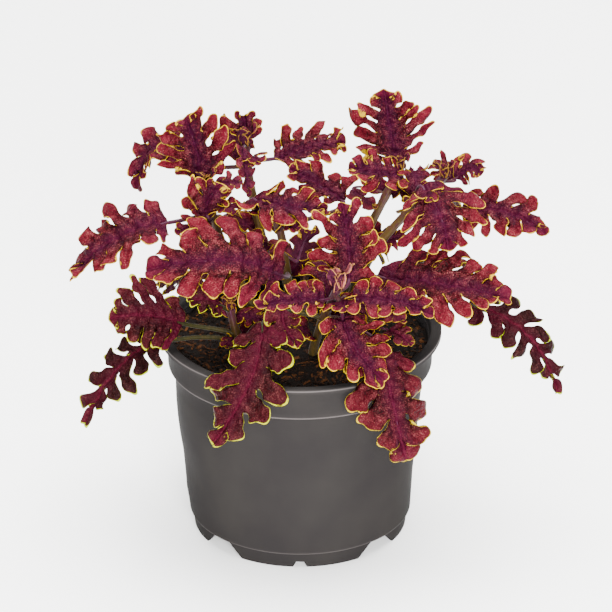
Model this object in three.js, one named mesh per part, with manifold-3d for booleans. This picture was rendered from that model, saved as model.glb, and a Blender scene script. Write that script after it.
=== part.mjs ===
// A coleus with deeply fingered leaves, growing in a plastic nursery pot.
// Millimetres, +Z up, and -Y is the front. The origin is on the surface that the pot stands on, in the middle
// of the plant's spread. Everything is laid out from the pot's axis, and moved there at the end.
import * as THREE from 'three';
import { mergeVertices } from 'three/addons/utils/BufferGeometryUtils.js';
import Module from 'manifold-3d';

const wasm = await Module();
wasm.setup();

// Driving dimensions
const rimRadius = 65; // outer edge of the pot's lip
const potHeight = 99; // top of the lip
const collarHeight = 81.2; // where the body ends and the wider collar overhangs it
const collarRadius = 60.7;
const bodyTopRadius = 57.4;
const bodyMidRadius = 55; // the body is a little barrelled
const bodyMidHeight = 45;
const bodyFootRadius = 51.4;
const wallThickness = 1.3;
const footHeight = 7.6; // the ring of feet that carries the raised floor
const footRadius = 49.2;
const floorTop = 10;
const potSides = 40;
const soilTop = 90.5;
const seatGap = 0.3; // room between pieces that touch
const bladeThickness = 0.9;
const stemRadius = 2.4; // to the corners: stems are square, as on all of the mint family
const stalkRadius = 1.3;
const holeRadius = 3.2; // the plain holes that the stems stand in
const stemRoot = 75; // how deep the stems stand in the mix
const joinTolerance = 0.05;
const spreadMiddle = [6.9, 4.5]; // the middle of the plant's width and depth, from the pot's axis

// Solids

function toSolid(geometry) {
  const bare = geometry.clone();
  bare.deleteAttribute('normal');
  bare.deleteAttribute('uv');
  const merged = mergeVertices(bare, 1e-4);
  const corners = merged.index.array;
  const kept = [];
  for (let i = 0; i < corners.length; i += 3) {
    const [a, b, c] = corners.slice(i, i + 3);
    if (a !== b && b !== c && c !== a) kept.push(a, b, c);
  }
  return new wasm.Manifold(new wasm.Mesh({
    numProp: 3,
    vertProperties: new Float32Array(merged.attributes.position.array),
    triVerts: new Uint32Array(kept),
  }));
}

function toGeometry(solid) {
  const mesh = solid.getMesh();
  const geometry = new THREE.BufferGeometry();
  geometry.setAttribute('position', new THREE.BufferAttribute(new Float32Array(mesh.vertProperties), 3));
  geometry.setIndex(new THREE.BufferAttribute(new Uint32Array(mesh.triVerts), 1));
  geometry.computeVertexNormals();
  return geometry;
}

// What grew together is one body: everything is joined, and what the joining seals in is dropped.
function growTogether(solids) {
  const joined = wasm.Manifold.union(solids).simplify(joinTolerance);
  const bodies = joined.decompose().sort((a, b) => b.volume() - a.volume());
  const apart = bodies.slice(1).filter((body) => body.volume() > 1);
  if (apart.length > 0) throw new Error(`${apart.length} leaves hang off their stem`);
  return bodies[0];
}

function tube(path, radius, sides, steps) {
  const corners = [];
  for (let i = 0; i < sides; i += 1) {
    const turn = ((i + 0.5) * 2 * Math.PI) / sides;
    corners.push(new THREE.Vector2(radius * Math.cos(turn), radius * Math.sin(turn)));
  }
  const section = new THREE.Shape(corners);
  return toSolid(new THREE.ExtrudeGeometry(section, { steps, bevelEnabled: false, extrudePath: path }));
}

function lathe(profile, sides) {
  const geometry = new THREE.LatheGeometry(profile.map(([r, z]) => new THREE.Vector2(r, z)), sides);
  return toSolid(geometry.rotateX(Math.PI / 2));
}

// Numbers from a seed, the same on each run
function makeDice(seed) {
  let state = seed;
  return () => {
    state = (state * 16807) % 2147483647;
    return state / 2147483647;
  };
}

// Pot

const footNotches = [46.5, 133.5, 226.5, 313.5]; // degrees from the front, one between each two feet
const footNicks = [0, 90, 180, 270]; // a low arch in the middle of each foot
const drainHoles = 4;

function potProfile() {
  const inside = wallThickness;
  return [
    [0, footHeight + 0.8],
    [footRadius - 1.6, footHeight + 0.8],
    [footRadius - 1.6, 0],
    [footRadius, 0],
    [footRadius + 0.8, footHeight - 0.8],
    [bodyFootRadius - 0.9, footHeight - 0.4],
    [bodyFootRadius, footHeight + 0.9],
    [bodyMidRadius, bodyMidHeight],
    [bodyTopRadius, collarHeight],
    [collarRadius, collarHeight + 1],
    [collarRadius + 0.4, potHeight - 4.2],
    [rimRadius - 0.4, potHeight - 3],
    [rimRadius, potHeight - 0.6],
    [rimRadius - 0.7, potHeight],
    [rimRadius - 4.6, potHeight - 0.3],
    [rimRadius - 5.2, potHeight - 1],
    [collarRadius - inside, potHeight - 5],
    [collarRadius - inside, collarHeight + 2.4],
    [bodyTopRadius - inside, collarHeight + 1.2],
    [bodyFootRadius - inside, floorTop + 2],
    [bodyFootRadius - inside - 1.8, floorTop],
    [0, floorTop],
  ];
}

// A wedge across the ring of feet, wide at the table and narrow at its top
function footCutter(degrees, bottomWidth, topWidth, height) {
  const outline = new THREE.Shape([
    new THREE.Vector2(-bottomWidth / 2, -1),
    new THREE.Vector2(bottomWidth / 2, -1),
    new THREE.Vector2(topWidth / 2, height),
    new THREE.Vector2(-topWidth / 2, height),
  ]);
  const cutter = new THREE.ExtrudeGeometry(outline, { depth: 12, bevelEnabled: false });
  cutter.rotateX(Math.PI / 2);
  cutter.translate(0, -footRadius + 7, 0);
  cutter.rotateZ(THREE.MathUtils.degToRad(degrees));
  return toSolid(cutter);
}

function drainCutter(degrees, radius) {
  const drill = new THREE.CylinderGeometry(4, 4, 8, 6).rotateX(Math.PI / 2);
  drill.translate(0, -radius, floorTop - 1);
  drill.rotateZ(THREE.MathUtils.degToRad(degrees));
  return toSolid(drill);
}

function makePot() {
  let pot = lathe(potProfile(), potSides);
  for (const degrees of footNotches) {
    pot = pot.subtract(footCutter(degrees, 25, 10, footHeight - 0.8));
  }
  for (const degrees of footNicks) {
    pot = pot.subtract(footCutter(degrees, 7.5, 3.5, 2.8));
  }
  for (let i = 0; i < drainHoles; i += 1) {
    pot = pot.subtract(drainCutter(((i + 0.5) * 360) / drainHoles, footRadius - 13));
  }
  return pot.subtract(drainCutter(0, 0));
}

// Potting mix

function makeSoil(stems) {
  const wall = wallThickness + seatGap;
  const foot = floorTop + seatGap;
  const profile = [
    [0, foot],
    [bodyFootRadius - wall - 2, foot],
    [bodyTopRadius - wall, collarHeight + 1.5],
    [collarRadius - wall, collarHeight + 3],
    [collarRadius - wall, soilTop - 1],
    [collarRadius - wall - 4, soilTop],
    [31, soilTop + 1],
    [0, soilTop + 1.8],
  ];
  const geometry = new THREE.LatheGeometry(profile.map(([r, z]) => new THREE.Vector2(r, z)), potSides);
  geometry.rotateX(Math.PI / 2);
  const place = geometry.attributes.position;
  for (let i = 0; i < place.count; i += 1) {
    const radius = Math.hypot(place.getX(i), place.getY(i));
    if (place.getZ(i) > soilTop - 0.5 && radius < collarRadius - wall - 3) {
      const lump = Math.sin(place.getX(i) * 0.31) * Math.cos(place.getY(i) * 0.27 + 1);
      place.setZ(i, place.getZ(i) + lump * 1.1);
    }
  }
  let soil = toSolid(geometry);
  for (const [x, y] of stems) {
    const hole = new THREE.CylinderGeometry(holeRadius, holeRadius, 40, 6).rotateX(Math.PI / 2);
    soil = soil.subtract(toSolid(hole.translate(x, y, stemRoot - seatGap + 20)));
  }
  return soil;
}

// Leaves. A blade is laid out flat, with x along its midrib and y across it, and then bent to its place.

const lobeStart = 0; // where the fingers begin and end along the midrib, as shares of its length
const lobeEnd = 0.86;
const youngCleft = 0.38; // how far from the midrib the clefts end, as a share of the half width
const endShare = 0.3; // half width of the lobe at the tip, as a share of the half width
const plainHalf = 10; // blades narrower than this have fingers without a waist

// Length of the fingers along the blade, as a share of its half width
function reach(along) {
  return Math.sin(Math.PI * (0.16 + 0.84 * along ** 0.75));
}

function fingerAngle(along) {
  return THREE.MathUtils.degToRad(74 - 38 * along);
}

function layOutBlade(leaf, length) {
  const dice = makeDice(leaf.seed);
  const points = [];
  const quads = [];
  const put = (x, y, z) => points.push(new THREE.Vector3(x, y, z)) - 1;
  const face = (side, a, b, c, d) => quads.push(side > 0 ? [a, b, c, d] : [d, c, b, a]);
  const step = (lobeEnd - lobeStart) / leaf.lobes;
  const spine = [];
  for (let i = 0; i <= leaf.lobes; i += 1) spine.push(put(length * (lobeStart + step * i), 0, 0));
  const heart = put(length * 0.93, 0, 0);
  const tip = put(length, 0, 0);
  for (const side of [1, -1]) {
    const clefts = spine.map((_, i) => {
      const along = lobeStart + step * i;
      const across = i === 0 ? 1.3 : leaf.half * (leaf.cleft * reach(along) + 0.02);
      return put(length * along + (across / Math.tan(fingerAngle(along))) * 0.8, side * across, 0);
    });
    for (let i = 0; i < leaf.lobes; i += 1) {
      const start = points[clefts[i]];
      const end = points[clefts[i + 1]];
      const along = lobeStart + step * (i + 0.5);
      const angle = fingerAngle(along) + 0.3 * (dice() - 0.5);
      const root = start.clone().add(end).multiplyScalar(0.5);
      const out = new THREE.Vector3(Math.cos(angle), side * Math.sin(angle), 0);
      const over = new THREE.Vector3(Math.sin(angle), -side * Math.cos(angle), 0);
      const width = (0.72 + 0.78 * leaf.cleft) * end.clone().sub(start).dot(over);
      const goal = leaf.half * reach(along) * (0.8 + 0.34 * dice());
      const finger = Math.max((goal - Math.abs(root.y)) / Math.sin(angle), width * 0.6);
      const lift = ((i + (side > 0 ? 0 : 1)) % 2 ? 1 : -0.7) * leaf.wave * (0.6 + 0.8 * dice());
      const twist = 0.3 * leaf.wave * (dice() - 0.5);
      const corner = (far, wide, high) => {
        const at = root.clone().addScaledVector(out, finger * far).addScaledVector(over, width * wide);
        return put(at.x, at.y, high);
      };
      face(side, spine[i], spine[i + 1], clefts[i + 1], clefts[i]);
      if (leaf.half < plainHalf) {
        const nearTip = corner(0.94, -0.34, lift - twist);
        face(side, clefts[i], clefts[i + 1], corner(0.98, 0.34, lift + twist), nearTip);
      } else {
        const near = corner(0.56, -0.46, lift * 0.4 - twist);
        const nearTip = corner(1, -0.34, lift - twist);
        const farTip = corner(0.98, 0.34, lift + twist);
        const far = corner(0.58, 0.44, lift * 0.4 + twist);
        face(side, clefts[i], clefts[i + 1], far, near);
        face(side, near, far, farTip, nearTip);
      }
    }
    const last = clefts[leaf.lobes];
    const bulge = put(length * 0.95, side * leaf.half * leaf.end, 0);
    const shoulder = put(length * 0.995, side * leaf.half * leaf.end * 0.55, 0);
    face(side, spine[leaf.lobes], heart, bulge, last);
    face(side, heart, tip, shoulder, bulge);
  }
  return { points, quads };
}

// The midrib bends from base to tip through its middle, and the blade's upper side looks along face.
function midrib(leaf) {
  const [base, mid, tip] = [leaf.base, leaf.mid, leaf.tip].map((p) => new THREE.Vector3(...p));
  const control = mid.multiplyScalar(2).addScaledVector(base, -0.5).addScaledVector(tip, -0.5);
  return new THREE.QuadraticBezierCurve3(base, control, tip);
}

function bendBlade(leaf, rib, length, flat) {
  const up = new THREE.Vector3(...leaf.face);
  return flat.map((point) => {
    const along = Math.min(Math.max(point.x / length, 0), 1);
    const forward = rib.getTangent(along);
    const left = up.clone().cross(forward).normalize();
    const over = forward.clone().cross(left);
    const across = Math.abs(point.y);
    const height = leaf.fold * across - (0.22 * across * across) / leaf.half + point.z;
    const place = rib.getPoint(along).addScaledVector(forward, point.x - along * length);
    return place.addScaledVector(left, point.y * 0.95).addScaledVector(over, height);
  });
}

function makeBlade(leaf, rib) {
  const length = rib.getLength();
  const { points, quads } = layOutBlade(leaf, length);
  const skin = new THREE.BufferGeometry().setFromPoints(bendBlade(leaf, rib, length, points));
  const upper = quads.flatMap(([a, b, c, d]) => [a, b, c, a, c, d]);
  skin.setIndex(upper);
  skin.computeVertexNormals();
  const count = points.length;
  const place = new THREE.Vector3();
  const normal = new THREE.Vector3();
  const corners = [];
  for (const side of [0.5, -0.5]) {
    for (let i = 0; i < count; i += 1) {
      place.fromBufferAttribute(skin.attributes.position, i);
      normal.fromBufferAttribute(skin.attributes.normal, i);
      corners.push(place.clone().addScaledVector(normal, side * bladeThickness));
    }
  }
  const faces = [...upper];
  for (let i = 0; i < upper.length; i += 3) {
    faces.push(upper[i] + count, upper[i + 2] + count, upper[i + 1] + count);
  }
  const seen = new Set();
  const around = quads.flatMap(([a, b, c, d]) => [[a, b], [b, c], [c, d], [d, a]]);
  around.forEach(([a, b]) => seen.add(`${a} ${b}`));
  for (const [a, b] of around.filter(([from, to]) => !seen.has(`${to} ${from}`))) {
    faces.push(b, a, a + count, b, a + count, b + count);
  }
  const geometry = new THREE.BufferGeometry().setFromPoints(corners);
  geometry.setIndex(faces);
  return toSolid(geometry);
}

// The stalk leaves the stem, meets the blade along its midrib and runs a little way into it.
function makeStalk(stem, leaf, rib) {
  const start = stem.getPoint(leaf.from);
  const base = rib.getPoint(0);
  const sunk = rib.getPoint(0.05);
  const forward = rib.getTangent(0);
  const span = base.distanceTo(start);
  const before = base.clone().addScaledVector(forward, -0.4 * span);
  const leave = start.clone().lerp(before, 0.5);
  leave.z += 0.1 * span;
  const path = new THREE.CubicBezierCurve3(start, leave, before.lerp(base, 0.5), sunk);
  return tube(path, stalkRadius, 3, span > 12 ? 3 : 2);
}

// Young leaves stand round each growing tip, smaller and more upright than the rest.
function makeCrown(stem, size, seed) {
  const dice = makeDice(seed);
  const top = stem.getPoint(1);
  return [0, 1].map((i) => {
    const turn = i * Math.PI + dice();
    const out = new THREE.Vector3(Math.cos(turn), Math.sin(turn), 0);
    const at = (far, high) => out.clone().multiplyScalar(far * size).add(top).setZ(top.z + high * size);
    return {
      seed: seed + i + 1, cleft: youngCleft, end: endShare, lobes: 2, fold: 0.45, wave: 0.6, half: size * 0.34,
      base: at(0.14, -0.1).toArray(), mid: at(0.34, 0.55).toArray(), tip: at(0.75, 0.85).toArray(),
      face: [-out.x, -out.y, 0.9],
    };
  });
}

function makeShoot(shoot, order) {
  const [[x, y], ...above] = shoot.stem;
  const below = [stemRoot, stemRoot + 9, stemRoot + 18].map((z) => [x, y, z]);
  const stem = new THREE.CatmullRomCurve3([...below, ...above].map((p) => new THREE.Vector3(...p)));
  const solids = [tube(stem, stemRadius, 4, 9)];
  shoot.leaves.forEach((row, i) => {
    const leaf = { seed: 101 * (order + 1) + 7 * i, cleft: youngCleft, end: endShare, ...row };
    const rib = midrib(leaf);
    solids.push(makeBlade(leaf, rib), makeStalk(stem, leaf, rib));
  });
  for (const leaf of makeCrown(stem, shoot.crown, 1009 * (order + 1))) {
    solids.push(makeBlade(leaf, midrib(leaf)));
  }
  return growTogether(solids);
}

// The plant, stem by stem: each stem's route from its root to its growing tip, and the leaves on it.
// from is the share of the stem below the leaf's stalk, and base, mid and tip are points of its midrib.
const shoots = {
  shoot_front: {
    stem: [[6, -14], [11, -28, 117], [17, -42, 139]],
    crown: 9,
    leaves: [
      {
        from: 0.74, base: [-17, -40, 121], mid: [-22, -67, 105], tip: [-39, -76, 78],
        face: [-0.2, -0.85, 0.5], half: 18, lobes: 5, cleft: 0.3, fold: 0.1, wave: 2,
      },
      {
        from: 0.95, base: [19, -47, 128], mid: [24, -59, 119], tip: [38, -66, 104],
        face: [0.1, -0.75, 0.65], half: 15, lobes: 5, fold: 0.3, wave: 1.6,
      },
      {
        from: 0.7, base: [37, -45, 111], mid: [41, -66, 97], tip: [48, -70, 67],
        face: [0.15, -0.9, 0.4], half: 18, lobes: 4, end: 0.46, fold: 0.1, wave: 1.6,
      },
      {
        from: 0.92, base: [11, -44, 134], mid: [-2, -50, 137], tip: [-20, -55, 136],
        face: [0, -0.6, 0.8], half: 9, lobes: 5, fold: 0.5, wave: 1,
      },
      {
        from: 0.92, base: [23, -44, 134], mid: [40, -50, 137], tip: [60, -57, 133],
        face: [0, -0.6, 0.8], half: 10, lobes: 5, fold: 0.5, wave: 1,
      },
      {
        from: 0.97, base: [22, -38, 139], mid: [22, -27, 152], tip: [19, -18, 170],
        face: [0, -0.95, 0.3], half: 16, lobes: 5, fold: 0.3, wave: 2,
      },
      {
        from: 0.72, base: [-7, -38, 127], mid: [-7, -45, 122], tip: [0, -50, 114],
        face: [0, -0.8, 0.5], half: 8, lobes: 3, fold: 0.2, wave: 1,
      },
      {
        from: 0.76, base: [40, -40, 117], mid: [45, -45, 117], tip: [51, -48, 113],
        face: [0.2, -0.7, 0.7], half: 6, lobes: 3, fold: 0.3, wave: 0.8,
      },
    ],
  },
  shoot_left: {
    stem: [[-14, -4], [-30, 4, 125], [-40, 12, 149], [-43, 19, 161]],
    crown: 8,
    leaves: [
      {
        from: 0.8, base: [-60, 5, 149], mid: [-82, -2, 145], tip: [-105, 0, 124],
        face: [0, -0.4, 0.92], half: 15.5, lobes: 6, cleft: 0.28, fold: 0.36, wave: 2,
      },
      {
        from: 0.82, base: [-42, 4, 152], mid: [-42, 8, 158], tip: [-36, 10, 166],
        face: [0, -0.9, 0.4], half: 13, lobes: 4, fold: 0.2, wave: 1.4,
      },
      {
        from: 0.82, base: [-41, 6, 149], mid: [-48, 0, 150], tip: [-56, -4, 148],
        face: [-0.1, -0.6, 0.8], half: 8, lobes: 3, fold: 0.3, wave: 1,
      },
      {
        from: 0.97, base: [-46, 28, 158], mid: [-47, 36, 169], tip: [-53, 40, 186],
        face: [0, -0.95, 0.3], half: 18, lobes: 5, fold: 0.3, wave: 2,
      },
      {
        from: 0.97, base: [-39, 18, 162], mid: [-33, 14, 165], tip: [-26, 12, 166],
        face: [0, -0.6, 0.8], half: 5, lobes: 3, fold: 0.4, wave: 0.8,
      },
    ],
  },
  shoot_left_low: {
    stem: [[-27, -13], [-30, -12, 105], [-32, -10, 113]],
    crown: 6,
    leaves: [
      {
        from: 0.66, base: [-53, -18, 109], mid: [-68, -28, 118], tip: [-86, -34, 120],
        face: [-0.1, -0.75, 0.65], half: 18, lobes: 5, fold: 0.15, wave: 2,
      },
      {
        from: 0.58, base: [-64, -25, 103], mid: [-82, -37, 96], tip: [-98, -42, 70],
        face: [-0.4, -0.6, 0.7], half: 12, lobes: 5, cleft: 0.18, fold: 0.2, wave: 1.4,
      },
      {
        from: 0.95, base: [-36, -14, 116], mid: [-42, -19, 122], tip: [-50, -22, 123],
        face: [0, -0.5, 0.85], half: 11, lobes: 4, fold: 0.3, wave: 1.2,
      },
    ],
  },
  shoot_back_left: {
    stem: [[-10, 14], [-18, 26, 132], [-24, 35, 162], [-25, 38, 173]],
    crown: 10,
    leaves: [
      {
        from: 0.82, base: [-50, 46, 160], mid: [-68, 58, 162], tip: [-76, 62, 139],
        face: [-0.1, -0.5, 0.85], half: 11, lobes: 5, fold: 0.3, wave: 1.8,
      },
      {
        from: 0.98, base: [-25, 42, 173], mid: [-25, 45, 178], tip: [-26, 47, 185],
        face: [0, -0.9, 0.4], half: 10, lobes: 3, fold: 0.3, wave: 1,
      },
      {
        from: 0.96, base: [-26, 31, 175], mid: [-25, 23, 168], tip: [-23, 19, 156],
        face: [0.5, -0.8, 0.2], half: 5, lobes: 4, fold: 0.3, wave: 0.6,
      },
      {
        from: 0.84, base: [-12, 53, 159], mid: [3, 60, 160], tip: [21, 65, 162],
        face: [0, -0.3, 0.95], half: 16, lobes: 6, fold: 0.45, wave: 2,
      },
      {
        from: 0.4, base: [-38, 34, 105], mid: [-52, 50, 101], tip: [-62, 62, 85],
        face: [-0.4, 0.5, 0.8], half: 14, lobes: 4, fold: 0.2, wave: 1.6,
      },
      {
        from: 0.6, base: [-26, 42, 127], mid: [-34, 58, 127], tip: [-40, 74, 115],
        face: [-0.1, 0.2, 0.95], half: 14, lobes: 4, fold: 0.25, wave: 1.6,
      },
    ],
  },
  shoot_middle: {
    stem: [[-2, 2], [-6, 2, 122], [-9, 4, 145], [-13, 8, 153]],
    crown: 7,
    leaves: [
      {
        from: 0.62, base: [-8, -22, 135], mid: [-33, -34, 149], tip: [-69, -32, 143],
        face: [0, -0.7, 0.7], half: 20, lobes: 6, fold: 0.27, wave: 2.4,
      },
      {
        from: 0.97, base: [-22, 14, 157], mid: [-7, 4, 158], tip: [13, 2, 157],
        face: [0, -0.4, 0.92], half: 14, lobes: 5, fold: 0.36, wave: 1.8,
      },
      {
        from: 0.84, base: [20, 26, 150], mid: [10, 34, 154], tip: [-5, 38, 161],
        face: [0, -0.5, 0.86], half: 12, lobes: 4, fold: 0.3, wave: 1.6,
      },
      {
        from: 0.72, base: [-1, -6, 135], mid: [1, -2, 141], tip: [5, -4, 150],
        face: [0, 0.95, 0.2], half: 9, lobes: 3, fold: 0.2, wave: 1,
      },
    ],
  },
  shoot_back_right: {
    stem: [[16, 14], [26, 16, 127], [38, 22, 152], [46, 28, 165]],
    crown: 8,
    leaves: [
      {
        from: 0.98, base: [46, 38, 163], mid: [42, 52, 173], tip: [39, 58, 191],
        face: [0, -0.92, 0.4], half: 18, lobes: 6, fold: 0.25, wave: 2,
      },
      {
        from: 0.96, base: [47, 22, 164], mid: [36, 16, 169], tip: [22, 18, 171],
        face: [0, -0.5, 0.86], half: 11, lobes: 5, fold: 0.47, wave: 1.2,
      },
      {
        from: 0.84, base: [24, 24, 157], mid: [29, 18, 155], tip: [35, 14, 153],
        face: [0.3, -0.7, 0.6], half: 4, lobes: 2, fold: 0.2, wave: 0.5,
      },
      {
        from: 0.4, base: [50, 32, 113], mid: [68, 46, 111], tip: [84, 58, 97],
        face: [0.3, 0.4, 0.85], half: 14, lobes: 4, fold: 0.2, wave: 1.6,
      },
      {
        from: 0.6, base: [52, 32, 135], mid: [62, 48, 139], tip: [70, 66, 131],
        face: [0.1, 0.2, 0.95], half: 14, lobes: 4, fold: 0.25, wave: 1.6,
      },
    ],
  },
  shoot_right: {
    stem: [[18, 1], [32, 4, 132], [50, 6, 155], [66, 14, 168]],
    crown: 8,
    leaves: [
      {
        from: 0.84, base: [55, 2, 169], mid: [63, -14, 163], tip: [67, -24, 150],
        face: [0, -0.6, 0.8], half: 20, lobes: 5, fold: 0.2, wave: 2.2,
      },
      {
        from: 0.8, base: [73, 10, 151], mid: [93, 2, 156], tip: [112, -12, 151],
        face: [0, -0.65, 0.75], half: 12.5, lobes: 5, fold: 0.27, wave: 1.8,
      },
      {
        from: 0.97, base: [71, 20, 164], mid: [67, 22, 167], tip: [61, 24, 170],
        face: [0, -0.6, 0.8], half: 7, lobes: 4, fold: 0.4, wave: 1,
      },
      {
        from: 0.97, base: [71, 20, 164], mid: [77, 20, 169], tip: [83, 18, 168],
        face: [0, -0.6, 0.8], half: 8, lobes: 4, fold: 0.4, wave: 1,
      },
    ],
  },
  shoot_right_low: {
    stem: [[24, -12], [34, -14, 113], [44, -16, 124]],
    crown: 6,
    leaves: [
      {
        from: 0.97, base: [34, -14, 131], mid: [64, -31, 135], tip: [95, -38, 132],
        face: [0, -0.5, 0.86], half: 20, lobes: 7, fold: 0.36, wave: 2,
      },
      {
        from: 0.84, base: [76, -26, 123], mid: [102, -38, 114], tip: [117, -44, 86],
        face: [0.3, -0.6, 0.7], half: 13, lobes: 6, cleft: 0.18, fold: 0.1, wave: 1.4,
      },
      {
        from: 0.86, base: [37, -30, 121], mid: [42, -38, 123], tip: [47, -45, 123],
        face: [0.2, -0.6, 0.8], half: 6, lobes: 3, fold: 0.3, wave: 0.8,
      },
    ],
  },
  shoot_back: {
    stem: [[2, 27], [2, 34, 102], [2, 40, 109]],
    crown: 8,
    leaves: [
      {
        from: 0.9, base: [-18, 42, 109], mid: [-27, 66, 108], tip: [-33, 86, 93],
        face: [-0.1, 0.4, 0.9], half: 15, lobes: 4, fold: 0.2, wave: 1.8,
      },
      {
        from: 0.9, base: [22, 42, 109], mid: [27, 68, 107], tip: [30, 88, 91],
        face: [0.1, 0.4, 0.9], half: 16, lobes: 4, fold: 0.2, wave: 1.8,
      },
      {
        from: 0.94, base: [0, 50, 105], mid: [-1, 70, 101], tip: [-3, 84, 81],
        face: [0, 0.5, 0.85], half: 12, lobes: 3, fold: 0.2, wave: 1.6,
      },
    ],
  },
};

// Assembly

const plastic = { color: '#4d4846', roughness: 0.45, metalness: 0 };
const peat = { color: '#2a1d15', roughness: 1, metalness: 0 };
const leafTissue = { color: '#7c2036', roughness: 0.7, metalness: 0 };

function addPiece(group, name, solid, finish) {
  const geometry = toGeometry(solid).translate(-spreadMiddle[0], -spreadMiddle[1], 0);
  const piece = new THREE.Mesh(geometry, new THREE.MeshStandardMaterial(finish));
  piece.name = name;
  group.add(piece);
}

const coleus = new THREE.Group();
addPiece(coleus, 'pot', makePot(), plastic);
addPiece(coleus, 'potting_mix', makeSoil(Object.values(shoots).map((shoot) => shoot.stem[0])), peat);
Object.entries(shoots).forEach(([name, shoot], order) => {
  addPiece(coleus, name, makeShoot(shoot, order), leafTissue);
});

export default coleus;
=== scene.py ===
# A potted coleus with fingered leaves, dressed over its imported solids.
# Shapes are laid out in millimetres from the pot's axis and set down in the frame's metres at the end.
import math
import bmesh
import bpy
import numpy as np
from mathutils import Matrix, Vector


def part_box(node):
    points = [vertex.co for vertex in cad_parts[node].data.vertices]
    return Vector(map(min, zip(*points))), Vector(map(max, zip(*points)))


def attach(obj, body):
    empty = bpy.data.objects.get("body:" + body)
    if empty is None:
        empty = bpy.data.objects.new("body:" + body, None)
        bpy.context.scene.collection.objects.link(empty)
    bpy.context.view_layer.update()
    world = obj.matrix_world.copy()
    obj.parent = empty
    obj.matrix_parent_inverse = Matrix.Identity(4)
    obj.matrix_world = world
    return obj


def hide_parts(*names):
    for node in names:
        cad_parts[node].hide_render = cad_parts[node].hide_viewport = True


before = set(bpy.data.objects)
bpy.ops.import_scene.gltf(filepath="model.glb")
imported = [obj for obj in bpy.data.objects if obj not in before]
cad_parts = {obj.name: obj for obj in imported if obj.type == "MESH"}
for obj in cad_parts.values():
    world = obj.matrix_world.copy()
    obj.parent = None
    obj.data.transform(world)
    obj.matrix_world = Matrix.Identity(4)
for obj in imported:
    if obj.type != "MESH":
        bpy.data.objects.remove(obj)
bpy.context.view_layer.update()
potLow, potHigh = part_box("pot")
potAxis = Vector(((potLow.x + potHigh.x) / 2, (potLow.y + potHigh.y) / 2, 0))
up = Vector((0, 0, 1))
mm = 0.001
print("frame loaded, pot axis at", [round(value, 4) for value in potAxis])


# numbers from a seed, the same on each run
def makeDice(seed):
    state = seed

    def roll():
        nonlocal state
        state = state * 16807 % 2147483647
        return state / 2147483647

    return roll


# smooth waves of about this size in mm, from about -1 to 1
def wobble(x, y, size, seed):
    k = 2 * math.pi / size
    a = np.sin(0.61 * k * x + seed + 1.3 * np.sin(0.43 * k * y + 2.1 * seed))
    b = np.sin(0.71 * k * y - seed + 1.1 * np.sin(0.37 * k * x + 0.7 * seed))
    c = np.sin(0.29 * k * (x + y) + 1.9 * seed)
    return (a + b + c) / 2.4


def readPoints(mesh):
    flat = np.empty(len(mesh.vertices) * 3)
    mesh.vertices.foreach_get("co", flat)
    return flat.reshape(-1, 3)


def writePoints(mesh, points):
    mesh.vertices.foreach_set("co", np.asarray(points, float).ravel())
    mesh.update()


# an object for a mesh, a light or a camera
def putIn(name, data):
    thing = bpy.data.objects.new(name, data)
    bpy.context.scene.collection.objects.link(thing)
    return thing


# a mesh laid out in mm becomes a piece that stands for the named solids
def setDown(name, mesh, nodes, materials):
    mesh.transform(Matrix.Translation(potAxis) @ Matrix.Scale(mm, 4))
    mesh.shade_smooth()
    mesh.materials.clear()
    for material in materials:
        mesh.materials.append(material)
    piece = putIn(name, mesh)
    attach(piece, "root")
    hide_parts(*nodes)
    return piece


def toMesh(shape, name):
    mesh = bpy.data.meshes.new(name)
    shape.to_mesh(mesh)
    shape.free()
    return mesh


# runs a modifier stack on a mesh and hands back the result
def worked(mesh, *stack):
    holder = putIn("work", mesh)
    for kind, settings in stack:
        modifier = holder.modifiers.new(kind, kind)
        for key, value in settings.items():
            setattr(modifier, key, value)
    graph = bpy.context.evaluated_depsgraph_get()
    result = bpy.data.meshes.new_from_object(
        holder.evaluated_get(graph), preserve_all_data_layers=True, depsgraph=graph)
    bpy.data.objects.remove(holder)
    return result


# ---- materials


def fromHex(code):
    channels = [int(code[i:i + 2], 16) / 255 for i in (1, 3, 5)]
    return [c / 12.92 if c <= 0.04045 else ((c + 0.055) / 1.055) ** 2.4 for c in channels] + [1]


# adds a node: fields are its settings, sockets take a value, a colour or a link, and one output comes back
def addNode(tree, kind, fields, sockets, out=0):
    node = tree.nodes.new("ShaderNode" + kind)
    for key, value in fields.items():
        if key == "stops":
            elements = node.color_ramp.elements
            elements.remove(elements[1])
            elements[0].position, elements[0].color = value[0][0], fromHex(value[0][1])
            for position, colour in value[1:]:
                elements.new(position).color = fromHex(colour)
        else:
            setattr(node, key, value)
    for key, value in sockets.items():
        if isinstance(value, bpy.types.NodeSocket):
            tree.links.new(value, node.inputs[key])
        else:
            node.inputs[key].default_value = fromHex(value) if isinstance(value, str) else value
    return None if out is None else node.outputs[out]


# a new material, and the ways to add to it
def startMaterial(name):
    material = bpy.data.materials.new(name)
    material.use_nodes = True
    tree = material.node_tree
    tree.nodes.clear()

    def add(kind, sockets, out=0, **fields):
        return addNode(tree, kind, fields, sockets, out)

    def work(operation, *values):
        return add("Math", dict(enumerate(values)), operation=operation)

    # first while a value is at start, and last once it has come to end
    def ramp(value, start, end, first=0.0, last=1.0):
        return add("MapRange", {
            "Value": value, "From Min": start, "From Max": end, "To Min": first, "To Max": last})

    def mix(share, under, over):
        return add("Mix", {0: share, 6: under, 7: over}, 2, data_type="RGBA")

    return material, add, work, ramp, mix


# depth is the relief in mm that a height of 1 stands for
def endMaterial(add, sockets, height, depth=1.0, strength=1.0):
    normal = add("Bump", {"Strength": strength, "Distance": depth * mm, "Height": height})
    shader = add("BsdfPrincipled", {**sockets, "Normal": normal})
    add("OutputMaterial", {"Surface": shader}, None)


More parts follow.
